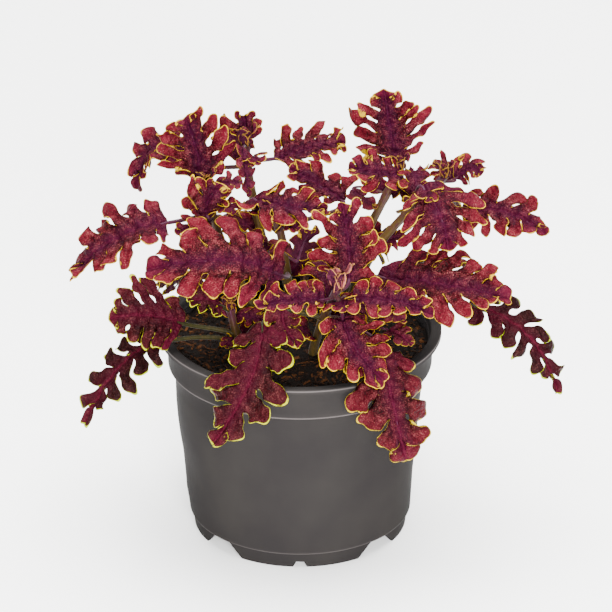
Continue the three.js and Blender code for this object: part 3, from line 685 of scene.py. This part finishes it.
# bends the flat blades to their places and gives them their relief
def shapeBlades(mesh, fingers, leaves):
    shape = bladeShape
    flat = readPoints(mesh)
    corners = readArray(mesh.loops, "vertex_index", np.int32)
    fingerOf = readArray(mesh.attributes["finger"].data, "value", np.int32)
    cornerFinger = np.repeat(fingerOf, 4)  # all faces have four corners
    leafNumber = {id(leaf): i for i, leaf in enumerate(leaves)}
    fingerLeaf = np.array([leafNumber[id(finger["leaf"])] for finger in fingers])
    owner = np.zeros(len(flat), np.int32)
    owner[corners] = fingerLeaf[cornerFinger]

    root, out, over = (np.array([finger[key][:2] for finger in fingers]) for key in ("root", "out", "over"))
    first, far, width, cup, curl = (np.array([finger[key] for finger in fingers])
                                    for key in ("start", "length", "width", "cup", "curl"))
    gap = flat[corners, :2] - root[cornerFinger]
    u = (gap * out[cornerFinger]).sum(axis=1)
    v = (gap * over[cornerFinger]).sum(axis=1)
    share = np.bincount(corners, minlength=len(flat))

    def perVertex(values):
        return np.bincount(corners, values, len(flat)) / share

    edge, outward = marginDistance(mesh, flat, corners, owner)
    ran = np.clip(u / far[cornerFinger], 0, 1.1)
    sideways = np.clip(2 * v / width[cornerFinger], -1.3, 1.3)
    bowl = perVertex(cup[cornerFinger] * sideways ** 2 * np.clip(1.4 * ran, 0, 1))
    droop = perVertex(curl[cornerFinger] * ran ** 2.2 * far[cornerFinger])
    vein = perVertex(np.exp(-(v / shape["veinWidth"]) ** 2) * np.clip(1.15 - u / far[cornerFinger], 0, 1))
    tipward = perVertex(np.clip(u / far[cornerFinger], 0, 1))
    arch = perVertex(1 - np.exp(-(v / shape["archWidth"]) ** 2))

    keys = ("half", "wave", "age", "youth", "seed")
    pick = {key: np.array([leaf[key] for leaf in leaves])[owner] for key in keys}
    seed = pick["seed"] * 0.37
    x, y = flat[:, 0], flat[:, 1]
    small = np.clip(pick["half"] / 12, 0.25, 1)
    inner = 1 - np.exp(-edge / (shape["margin"] * small))
    height = flat[:, 2] + small * (
        shape["arch"] * arch * inner
        - shape["veinGroove"] * vein * inner
        - shape["ribGroove"] * np.exp(-(y / shape["ribWidth"]) ** 2)
        + shape["quilt"] * wobble(x, y, shape["quiltSize"], seed) * inner
        + shape["ruffle"] * np.exp(-edge / 1.6) * wobble(x, y, shape["ruffleSize"], seed + 2)
        + shape["cup"] * bowl - shape["curl"] * droop
        + shape["drape"] * pick["wave"] * wobble(x, y, shape["drapeSize"], seed + 4))
    scallop = small * shape["crenation"] * np.exp(-edge / 1.2) * wobble(x, y, shape["crenationSize"], seed)
    offRib = np.clip(np.abs(y) / 3, 0, 1)
    x2 = x + small * shape["wander"] * wobble(x, y, 8.5, seed + 1) + scallop * outward[:, 0]
    y2 = y + small * shape["wander"] * wobble(x, y, 7.5, seed + 3) * offRib + scallop * outward[:, 1]

    place = np.zeros_like(flat)
    for number, leaf in enumerate(leaves):
        own = owner == number
        curve = ribCurve(leaf)
        rib, length = [np.array(p) for p in curve], ribLength(curve)
        t = np.clip(x2[own] / length, 0, 1)[:, None]
        forward = toUnit(ribSlope(rib, t))
        left = toUnit(np.cross(np.array(leaf["face"], float), forward))
        above = np.cross(forward, left)
        across = np.abs(y2[own])
        high = leaf["fold"] * across - 0.22 * across ** 2 / leaf["half"] + height[own]
        place[own] = (ribPoint(rib, t) + forward * (x2[own, None] - t * length) + left * 0.95 * y2[own, None]
                      + above * high[:, None])
    writePoints(mesh, place)

    addUv(mesh, "blade", np.stack([x[corners] + 137.0 * owner[corners], y[corners]], axis=1))
    addUv(mesh, "finger", np.stack([u + first[cornerFinger], v], axis=1))
    addValues(mesh, "edge", "FLOAT", "value", edge / small ** 0.6)
    traits = np.stack([pick["age"], tipward, pick["youth"]], axis=1)
    addValues(mesh, "traits", "FLOAT_VECTOR", "vector", traits)


def addUv(mesh, name, values):
    mesh.uv_layers.new(name=name).data.foreach_set("uv", values.astype(np.float32).ravel())


def addValues(mesh, name, kind, key, values):
    layer = mesh.attributes.get(name) or mesh.attributes.new(name, kind, "POINT")
    layer.data.foreach_set(key, np.asarray(values, np.float32).ravel())


# a piece of one stem, named for it
def setOnShoot(shoot, word, mesh, *materials):
    return setDown(shoot["node"].replace("shoot", word), mesh, [shoot["node"]], materials)


def growLeaves(shoot, word, levels):
    leaves = shoot[word]
    mesh, fingers = drawBlades(leaves, levels)
    shapeBlades(mesh, fingers, leaves)
    piece = setOnShoot(shoot, word, mesh, leafSkin, leafBack)
    skin = piece.modifiers.new("thickness", "SOLIDIFY")
    skin.thickness = bladeShape["thickness"] * mm
    skin.offset = -1
    skin.material_offset = 1
    print(piece.name, len(mesh.polygons), "faces")


for shoot in shoots:
    growLeaves(shoot, "leaves", 3)
    growLeaves(shoot, "young", 1)

# ---- stems and stalks

stemShape = {
    "radius": 2.0, "node": 0.35, "stalkRoot": 1.2, "stalkTip": 0.85,  # mm
    "square": 0.15,  # how far its corners stand out, as a share
    "steps": 34, "sides": 16, "stalkSteps": 14, "ribSteps": 12, "stalkSides": 10,
    "young": (0.6, 0.5), "old": (0.3, -0.2),  # a stalk's share of violet at its root, and what it gains
}


# a tube drawn ring by ring along a path, with a radius for each point and a colour share from green to violet
def drawTube(skin, path, radii, shares, square=0, sides=12):
    flush = skin.verts.layers.float["flush"]
    forward = (path[1] - path[0]).normalized()
    across = forward.orthogonal().normalized()
    ring = bmesh.ops.create_circle(skin, cap_ends=True, segments=sides, radius=1)["verts"]
    for vert in ring:
        vert.co *= 1 - square * math.cos(4 * math.atan2(vert.co.y, vert.co.x))
    last = Matrix.Identity(4)
    for i, point in enumerate(path):
        ahead = path[min(i + 1, len(path) - 1)] - path[max(i - 1, 0)]
        forward = ahead.normalized()
        across = (across - forward * across.dot(forward)).normalized()
        columns = (across * radii[i], forward.cross(across) * radii[i], forward)
        place = Matrix.Translation(point) @ Matrix([column[:] for column in columns]).transposed().to_4x4()
        if i > 0:
            grown = bmesh.ops.extrude_edge_only(skin, edges=ringEdges(ring))["geom"]
            ring = [g for g in grown if isinstance(g, bmesh.types.BMVert)]
        bmesh.ops.transform(skin, matrix=place @ last.inverted(), verts=ring)
        last = place
        for vert in ring:
            vert[flush] = shares[i]
    bmesh.ops.edgeloop_fill(skin, edges=ringEdges(ring))


# the edges that join the vertices of one ring
def ringEdges(ring):
    own = set(ring)
    joined = (edge for vert in ring for edge in vert.link_edges if edge.other_vert(vert) in own)
    return list(dict.fromkeys(joined))


# a stalk leaves the stem, meets the blade along its midrib and runs on under it as the rib
def stalkPath(shoot, leaf):
    rib = ribCurve(leaf)
    start, base = stemPoint(shoot["points"], leaf["start"]), rib[0]
    forward = ribSlope(rib, 0).normalized()
    span = (base - start).length
    before = base - forward * 0.4 * span
    leave = start.lerp(before, 0.5) + Vector((0, 0, 0.1 * span))
    sunk = ribPoint(rib, 0.05)
    arm = before.lerp(base, 0.5)
    steps = stemShape["stalkSteps"]
    path = []
    for i in range(steps):
        t = i / steps
        path.append((1 - t) ** 3 * start + 3 * t * (1 - t) ** 2 * leave
                    + 3 * t * t * (1 - t) * arm + t ** 3 * sunk)
    return path, rib


def growStems():
    shape = stemShape
    for shoot in shoots:
        skin = bmesh.new()
        skin.verts.layers.float.new("flush")
        steps = shape["steps"]
        joints = [leaf["start"] for leaf in shoot["leaves"]]
        path = [stemPoint(shoot["points"], i / steps) for i in range(steps + 1)]
        radii = []
        for i in range(steps + 1):
            swell = max(math.exp(-((i / steps - joint) / 0.03) ** 2) for joint in joints)
            radii.append(shape["radius"] * (1.05 - 0.35 * (i / steps) ** 2) + shape["node"] * swell)
        shares = [0.75 * i / steps for i in range(steps + 1)]
        drawTube(skin, path, radii, shares, shape["square"], shape["sides"])
        for leaf in shoot["leaves"]:
            path, rib = stalkPath(shoot, leaf)
            small = max(0.55, min(1, leaf["half"] / 12))
            root, gain = shape["stalkRoot"], shape["stalkTip"] - shape["stalkRoot"]
            radii = [small * (root + gain * i / len(path)) for i in range(len(path))]
            radii[0] *= 1.3
            face = Vector(leaf["face"])
            for i in range(1, shape["ribSteps"] + 1):
                t = 0.05 + 0.8 * i / shape["ribSteps"]
                forward = ribSlope(rib, t).normalized()
                over = forward.cross(face.cross(forward).normalized())
                radii.append(small * (0.8 - 0.6 * t))
                path.append(ribPoint(rib, t) - over * (small * bladeShape["ribGroove"] + radii[-1] + 0.35))
            root, gain = shape["old" if leaf["age"] > 0.7 else "young"]
            shares = [root + gain * i / len(path) for i in range(len(path))]
            drawTube(skin, path, radii, shares, 0, shape["stalkSides"])
        bmesh.ops.recalc_face_normals(skin, faces=skin.faces)
        mesh = toMesh(skin, "stem")
        piece = setOnShoot(shoot, "stem", mesh, stemSkin)
        print(piece.name, len(mesh.polygons), "faces")


growStems()


# short down stands off the stems
downShape = {"hairs": 260, "length": 1.1, "root": 0.05}  # hairs to a stem, and mm


def growDown():
    dice = makeDice(90210)
    for shoot in shoots:
        down = bmesh.new()
        flush = down.verts.layers.float.new("flush")
        for i in range(downShape["hairs"]):
            share, turn = 0.3 + 0.69 * dice(), 2 * math.pi * dice()
            at, ahead = stemPoint(shoot["points"], share), stemPoint(shoot["points"], share + 0.01)
            forward = (ahead - at).normalized()
            across = Matrix.Rotation(turn, 3, forward) @ forward.orthogonal().normalized()
            length = downShape["length"] * (0.5 + dice())
            lean = (across + 0.5 * (dice() - 0.3) * forward).normalized()
            start = at + across * stemShape["radius"] * 0.8
            turned = lean.to_track_quat("Z", "Y").to_matrix().to_4x4()
            place = Matrix.Translation(start + lean * length / 2) @ turned
            hair = bmesh.ops.create_cone(down, cap_ends=False, segments=3, radius1=downShape["root"],
                                         radius2=0.005, depth=length, matrix=place)["verts"]
            for vert in hair:
                vert[flush] = 1.0
        setOnShoot(shoot, "down", toMesh(down, "down"), stemSkin)
    print("down grown")


growDown()

# ---- pot

potShape = {
    "rim": 65, "height": 99, "collar": 60.7, "crease": 81.2, "bodyTop": 57.4, "bodyFoot": 51.4, "barrel": 0.6,
    "wall": 1.3, "foot": 49.2, "footHeight": 7.6, "floor": 10, "steps": 144,  # mm
    "notches": (46.5, 133.5, 226.5, 313.5), "nicks": (0, 90, 180, 270),  # degrees from the front
    "notchSize": (25, 10, 6.8), "nickSize": (7.5, 3.5, 2.8),  # mm: width at the foot, at the top, and height
    "squash": 0.7,  # mm that the body leans to one side
    "dents": ((-52, 33, 2.2, 9), (38, 57, 2.2, 11), (30, 22, 1.6, 12)),  # x, z, depth and size in mm
    # bands of painted highlight along the lip, the crease and the foot
    "highlitEdges": ((98.2, 0.3, 64.4, 1), (82.2, 0.45, 60, 1), (7.4, 0.5, 50.2, 0.6)),  # z, size, radius, share
    "holes": 4, "ringOfHoles": 13,  # mm: radius, and in from the foot
}


def potProfile(pot):
    body, foot, rim, top, crease = pot["bodyTop"], pot["foot"], pot["rim"], pot["height"], pot["crease"]
    low, wall, floor, under = pot["bodyFoot"], pot["wall"], pot["floor"], pot["footHeight"]
    collar = pot["collar"]
    inner = collar - wall
    start, levels = under + 1.5, 8
    profile = [(0, under + 0.8), (foot - 1.6, under + 0.8), (foot - 1.6, 0), (foot, 0), (foot + 0.3, 3),
               (foot + 0.8, under - 0.8), (low - 0.9, under - 0.5), (low - 0.3, under - 0.1),
               (low - 0.02, under + 0.6)]
    for i in range(levels):
        share = i / levels
        profile.append((low + (body - low) * share + 4 * pot["barrel"] * share * (1 - share),
                        start + (crease - start) * share))
    profile += [(body, crease - 0.4), (body + 0.4, crease + 0.2), (collar - 0.5, crease + 0.75),
                (collar - 0.1, crease + 0.9), (collar + 0.02, crease + 1.25), (collar + 0.04, crease + 1.8),
                (collar + 0.1, crease + 4), (collar + 0.4, top - 4.4), (collar + 0.8, top - 3.7),
                (rim - 1.2, top - 3.1), (rim - 0.2, top - 2.8), (rim, top - 2.4), (rim, top - 1.25),
                (rim, top - 0.8), (rim - 0.12, top - 0.3), (rim - 0.45, top - 0.05), (rim - 1, top),
                (rim - 2.5, top - 0.15), (rim - 4.3, top - 0.35), (rim - 4.8, top - 0.6),
                (rim - 5.1, top - 1.2)]
    for i in range(5):  # fine ridges run round the inside
        high = top - 3.4 - 1.5 * i
        profile += [(inner + 0.1, high), (inner - 0.35, high - 0.3), (inner + 0.1, high - 0.6)]
    profile += [(inner, crease + 2.4), (body - wall, crease + 1.2), (low - wall, floor + 2),
                (low - wall - 0.5, floor + 0.7), (low - wall - 1.8, floor), (0, floor)]
    return profile


# the wedges that cut the ring of feet into four, and the drain holes
def potCutter(pot):
    def turned(degrees):
        return Matrix.Rotation(math.radians(degrees), 4, "Z")

    cutter = bmesh.new()
    wedges = [(degrees, *pot["notchSize"]) for degrees in pot["notches"]]
    wedges += [(degrees, *pot["nickSize"]) for degrees in pot["nicks"]]
    for degrees, wide, narrow, height in wedges:
        block = bmesh.ops.create_cube(cutter, size=1)["verts"]
        for vert in block:
            width = narrow if vert.co.z > 0 else wide
            vert.co = (vert.co.x * width, vert.co.y * 12 - pot["foot"] + 1, height if vert.co.z > 0 else -1)
        bmesh.ops.transform(cutter, matrix=turned(degrees), verts=block)
    holes = [(45 + 90 * i, pot["foot"] - pot["ringOfHoles"]) for i in range(4)] + [(0, 0)]
    for degrees, radius in holes:
        place = turned(degrees) @ Matrix.Translation((0, -radius, pot["floor"] - 1))
        bmesh.ops.create_cone(cutter, cap_ends=True, segments=32, radius1=pot["holes"], radius2=pot["holes"],
                              depth=8, matrix=place)
    return putIn("cutter", toMesh(cutter, "cutter"))


def spinProfile(profile, steps):
    shell = bmesh.new()
    verts = [shell.verts.new((r, 0, z)) for r, z in profile]
    edges = [shell.edges.new(pair) for pair in zip(verts, verts[1:])]
    bmesh.ops.spin(shell, geom=verts + edges, axis=(0, 0, 1), cent=(0, 0, 0), angle=2 * math.pi, steps=steps,
                   use_merge=True)
    bmesh.ops.remove_doubles(shell, verts=shell.verts, dist=0.001)
    bmesh.ops.recalc_face_normals(shell, faces=shell.faces)
    return toMesh(shell, "spun")


def makePot():
    pot = potShape
    mesh = spinProfile(potProfile(pot), pot["steps"])
    cutter = potCutter(pot)
    cut = {"object": cutter, "operation": "DIFFERENCE", "solver": "EXACT"}
    rounded = {"width": 0.3, "segments": 2, "limit_method": "ANGLE", "angle_limit": math.radians(50)}
    mesh = worked(mesh, ("BOOLEAN", cut), ("BEVEL", rounded))
    bpy.data.objects.remove(cutter)
    points = readPoints(mesh)
    radius = np.hypot(points[:, 0], points[:, 1])
    body = np.clip((points[:, 2] - 12) / 12, 0, 1) * np.clip((pot["crease"] - 3 - points[:, 2]) / 10, 0, 1)
    push = np.zeros(len(points))
    for x, z, depth, size in pot["dents"]:
        gap = (points[:, 0] - x) ** 2 + 0.5 * (points[:, 2] - z) ** 2
        push += depth * np.exp(-gap / size ** 2) * np.clip(0.5 - points[:, 1] / 30, 0, 1)
    # bands of painted highlight on the corners of the lip, the crease and the foot
    wear = np.zeros(len(points))
    for z, size, least, share in pot["highlitEdges"]:
        wear += share * np.exp(-((points[:, 2] - z) / size) ** 2) * (radius > least)
    addValues(mesh, "wear", "FLOAT", "value", np.clip(wear, 0, 1))
    turn = np.arctan2(points[:, 1], points[:, 0])
    push += pot["squash"] * np.cos(turn) + 0.25 * np.sin(3 * turn + 0.7)
    push += 0.15 * np.sin(5 * turn + points[:, 2] * 0.05)
    points[:, :2] *= (1 - push * body / np.maximum(radius, 1))[:, None]
    writePoints(mesh, points)
    piece = setDown("pot_shell", mesh, ["pot"], [plastic])
    mesh.set_sharp_from_angle(angle=math.radians(40))
    print(piece.name, len(mesh.polygons), "faces")


makePot()

# ---- potting mix

# how high the top of the mix lies, in mm
def mixHeight(x, y):
    shape = mixShape
    radius = np.hypot(x, y)
    height = shape["top"] + 1.8 - 0.8 * np.clip(radius / 31, 0, 1) - 1.0 * np.clip((radius - 31) / 24, 0, 1)
    height = height + 0.8 * np.sin(x * 0.31) * np.cos(y * 0.27 + 1)
    for i, (rise, size) in enumerate(shape["lumps"]):
        height = height + rise * wobble(x, y, size, 3.0 + i)
    return height


def makeMix():
    pot, shape = potShape, mixShape
    wall = pot["wall"] + 0.3
    edge = pot["collar"] - wall
    side = [(0, pot["floor"] + 0.3), (pot["bodyFoot"] - wall - 2, pot["floor"] + 0.3),
            (pot["bodyTop"] - wall, pot["crease"] + 1.5), (edge, pot["crease"] + 3),
            (edge, shape["top"] - 1.5)]
    top = [(edge * (1 - i / shape["rings"]), shape["top"]) for i in range(shape["rings"] + 1)]
    mesh = spinProfile(side + top, shape["steps"])
    points = readPoints(mesh)
    crown = points[:, 2] > shape["top"] - 0.5
    points[crown, 2] = mixHeight(points[crown, 0], points[crown, 1])
    writePoints(mesh, points)
    addValues(mesh, "shade", "FLOAT", "value", np.zeros(len(points)))
    piece = setOnMix("mix_bed", mesh, peat)
    print(piece.name, len(mesh.polygons), "faces")


def setOnMix(name, mesh, material):
    return setDown(name, mesh, ["potting_mix"], [material])


def sizeBetween(sizes, roll):
    return sizes[0] + (sizes[1] - sizes[0]) * roll ** 2


def roughen(mesh, height, size, seeds):
    points = readPoints(mesh)
    points += height * np.stack([wobble(points[:, 0], points[:, 1], size, seed) for seed in seeds], axis=1)
    writePoints(mesh, points)


# loose crumbs of peat and fine fibres lie all over the bed, and flakes of bark mostly round the edge
def scatterMix():
    shape = mixShape
    dice = makeDice(4711)
    crumbs = bmesh.new()
    shade = crumbs.verts.layers.float.new("shade")

    def spot(outward=0.5):
        turn, far = dice() * 2 * math.pi, dice() ** outward * (potShape["collar"] - 3)
        x, y = far * math.cos(turn), far * math.sin(turn)
        return x, y, mixHeight(x, y)

    def turned():
        return (Matrix.Rotation(dice() * 6.28, 4, "Z") @ Matrix.Rotation((dice() - 0.5) * 1.3, 4, "X")
                @ Matrix.Rotation((dice() - 0.5) * 1.3, 4, "Y"))

    for i in range(shape["crumbs"]):
        x, y, z = spot()
        size = sizeBetween(shape["crumbSize"], dice())
        scale = Matrix.Diagonal((size, size * (0.6 + 0.5 * dice()), size * (0.5 + 0.4 * dice()), 1))
        place = Matrix.Translation((x, y, z + 0.15 * size)) @ turned() @ scale
        light = dice() ** 3
        for vert in bmesh.ops.create_icosphere(crumbs, subdivisions=1, radius=1, matrix=place)["verts"]:
            vert[shade] = light
    mesh = toMesh(crumbs, "crumbs")
    roughen(mesh, 0.1, 1.3, (1, 2, 3))
    setOnMix("mix_crumbs", mesh, peat)

    flakes = bmesh.new()
    shade = flakes.verts.layers.float.new("shade")
    for i in range(shape["flakes"]):
        x, y, z = spot(0.35)
        length = sizeBetween(shape["flakeSize"], dice())
        scale = Matrix.Diagonal((length, length * (0.25 + 0.3 * dice()), 0.35 + 0.5 * dice(), 1))
        place = Matrix.Translation((x, y, z + 0.3)) @ turned() @ scale
        light = dice()
        for vert in bmesh.ops.create_cube(flakes, size=1, matrix=place)["verts"]:
            vert[shade] = light
    bmesh.ops.bevel(flakes, geom=flakes.edges[:], offset=0.12, segments=1, profile=0.5, affect="EDGES",
                    material=-1)
    mesh = toMesh(flakes, "flakes")
    roughen(mesh, 0.18, 2.2, (4, 5, 6))
    setOnMix("mix_flakes", mesh, bark)

    fibres = bmesh.new()
    fibres.verts.layers.float.new("flush")
    for i in range(shape["fibres"]):
        x, y, z = spot()
        heading, bend, length = dice() * 6.28, (dice() - 0.5) * 1.6, sizeBetween(shape["fibreSize"], dice())
        path = []
        for k in range(6):
            lift = 0.35 + 0.3 * math.sin(k * 0.6)
            path.append(Vector((x, y, mixHeight(x, y) + lift)))
            x, y = x + length / 5 * math.cos(heading), y + length / 5 * math.sin(heading)
            heading += bend / 5
            if math.hypot(x, y) > potShape["collar"] - 3:
                break
        if len(path) > 2:
            drawTube(fibres, path, [0.16] * len(path), [dice()] * len(path), 0, 5)
    bmesh.ops.recalc_face_normals(fibres, faces=fibres.faces)
    mesh = toMesh(fibres, "fibres")
    mesh.attributes["flush"].name = "shade"
    setOnMix("mix_fibres", mesh, bark)
    print("mix scattered")


makeMix()
scatterMix()

# ---- stage

studio = {
    "floor": "#fbfbfa", "world": 0.3,
    "lens": 321,  # mm
    "distance": 2.5, "lit": 0.12,  # metres from the camera to its aim, and up to where the lights point
    "from": (0, -0.8965, 0.4431), "aim": (0.00275, 0, 0.1092),  # its way and its aim, from the pot's axis
    "lights": (  # place in metres, power in watts, size in metres
        ("top", (0.1, 0.3, 2.0), 300, 2.4),
        ("key", (0.15, -2.0, 0.7), 190, 0.9),
    ),
}


def aimFrom(thing, place, target):
    thing.location = place
    thing.rotation_euler = (target - thing.location).to_track_quat("-Z", "Y").to_euler()


def addLight(name, place, power, size):
    light = bpy.data.lights.new(name, "AREA")
    light.energy, light.size = power, size
    aimFrom(putIn(name, light), Vector(place), potAxis + up * studio["lit"])


def setStage():
    sheet = bmesh.new()
    bmesh.ops.create_grid(sheet, x_segments=1, y_segments=1, size=6)
    mesh = toMesh(sheet, "floor")
    material, add = startMaterial("matt studio paper")[:2]
    paper = add("BsdfPrincipled", {"Base Color": studio["floor"], "Roughness": 0.9})
    add("OutputMaterial", {"Surface": paper}, None)
    mesh.materials.append(material)
    floor = putIn("floor", mesh)
    world = bpy.data.worlds.new("studio")
    world.use_nodes = True
    background = world.node_tree.nodes["Background"].inputs
    background["Color"].default_value = (1, 1, 1, 1)
    background["Strength"].default_value = studio["world"]
    bpy.context.scene.world = world
    for light in studio["lights"]:
        addLight(*light)
    lens = bpy.data.cameras.new("camera")
    lens.lens, lens.sensor_width, lens.clip_end = studio["lens"], 36, 20
    camera = putIn("camera", lens)
    aim = potAxis + Vector(studio["aim"])
    aimFrom(camera, aim + Vector(studio["from"]) * studio["distance"], aim)
    bpy.context.scene.camera = camera


setStage()
print("stage set")
